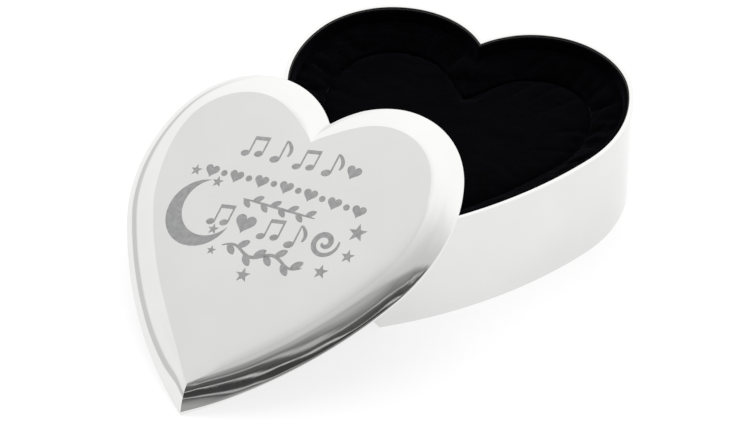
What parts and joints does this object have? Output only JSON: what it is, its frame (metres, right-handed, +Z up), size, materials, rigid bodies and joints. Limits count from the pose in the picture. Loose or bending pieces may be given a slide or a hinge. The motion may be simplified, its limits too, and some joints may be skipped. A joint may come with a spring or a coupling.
{
  "type": "heart trinket music box",
  "caption": "Heart-shaped polished metal keepsake box with a loose domed lid, a black velvet tray and a key-wound musical movement hidden under the tray.",
  "frame": {"origin": "middle of the footprint of the open box with its lid lying beside it, on the surface that they stand on", "axes": "+Z up, +Y from the heart's tip towards its lobes, +X to the right as seen from the tip"},
  "size_m": [0.1478, 0.1776, 0.0575],
  "materials": {
    "silver_plate": "mirror polished silver plate",
    "plated_inner_metal": "plated, satin",
    "base_sheet": "plain plated sheet",
    "felt": "black felt",
    "board": "black card",
    "pillar_wood": "plain turned beech",
    "velvet": "black velvet",
    "zinc_casting": "gilt lacquered zinc casting",
    "bearing_steel": "blanked steel",
    "spring_steel": "ground spring steel",
    "screw_steel": "nickel plated",
    "shaft_steel": "turned steel",
    "key_steel": "nickel plated steel",
    "movement_brass": "brushed brass",
    "fan_plastic": "ivory moulded plastic"
  },
  "bodies": {
    "box": {"base_wall": "silver_plate", "base_plate": "base_sheet", "base_felt": "felt", "false_floor_board": "board", "collar_board": "board", "floor_pillars": "pillar_wood", "collar_velvet": "velvet", "rim_bolster": "velvet", "floor_pad": "velvet", "movement_bedplate": "zinc_casting", "comb_rail": "zinc_casting", "spring_housing": "zinc_casting", "governor_frame": "zinc_casting", "left_bearing_bracket": "bearing_steel", "right_bearing_bracket": "bearing_steel", "outer_bearing_plate": "bearing_steel", "mainspring": "spring_steel", "comb": "spring_steel", "comb_screws": "screw_steel", "movement_screws": "screw_steel"},
    "lid": {"lid_shell": "silver_plate", "lid_pan": "plated_inner_metal", "lid_lining_board": "board", "lid_lining_velvet": "velvet"},
    "winding": {"winding_arbor": "shaft_steel", "winding_key": "key_steel", "great_wheel": "movement_brass"},
    "drum_set": {"drum": "movement_brass", "drum_arbor": "shaft_steel", "drum_end_caps": "movement_brass", "drum_pinion": "movement_brass", "drum_gear": "movement_brass"},
    "governor_set": {"governor_shaft": "shaft_steel", "governor_pinion": "movement_brass", "worm_wheel": "movement_brass"},
    "fan_set": {"governor_worm": "shaft_steel", "governor_fan": "fan_plastic"}
  },
  "joints": [
    {"name": "lid_lift", "type": "slide", "parent": "box", "child": "lid", "axis": [-0.211, -0.4094, 0.8876], "range_m": [0, 0.06]},
    {"name": "drum_spin", "type": "hinge", "parent": "box", "child": "drum_set", "pos_m": [0.02364, 0.03929, 0.0187], "axis": [1, 0, 0], "continuous": true},
    {"name": "winding_spin", "type": "hinge", "parent": "box", "child": "winding", "pos_m": [0.00194, 0.03929, 0.009], "axis": [0, 0, 1], "continuous": true},
    {"name": "governor_spin", "type": "hinge", "parent": "box", "child": "governor_set", "pos_m": [0.03634, 0.04529, 0.01647], "axis": [1, 0, 0], "continuous": true},
    {"name": "fan_spin", "type": "hinge", "parent": "box", "child": "fan_set", "pos_m": [0.03804, 0.05049, 0.01647], "axis": [0, 0, 1], "continuous": true}
  ],
  "couplings": [
    {"joint": "winding_spin", "follows": "drum_spin", "ratio": 0.33333},
    {"joint": "governor_spin", "follows": "drum_spin", "ratio": -3},
    {"joint": "fan_spin", "follows": "drum_spin", "ratio": 60}
  ]
}
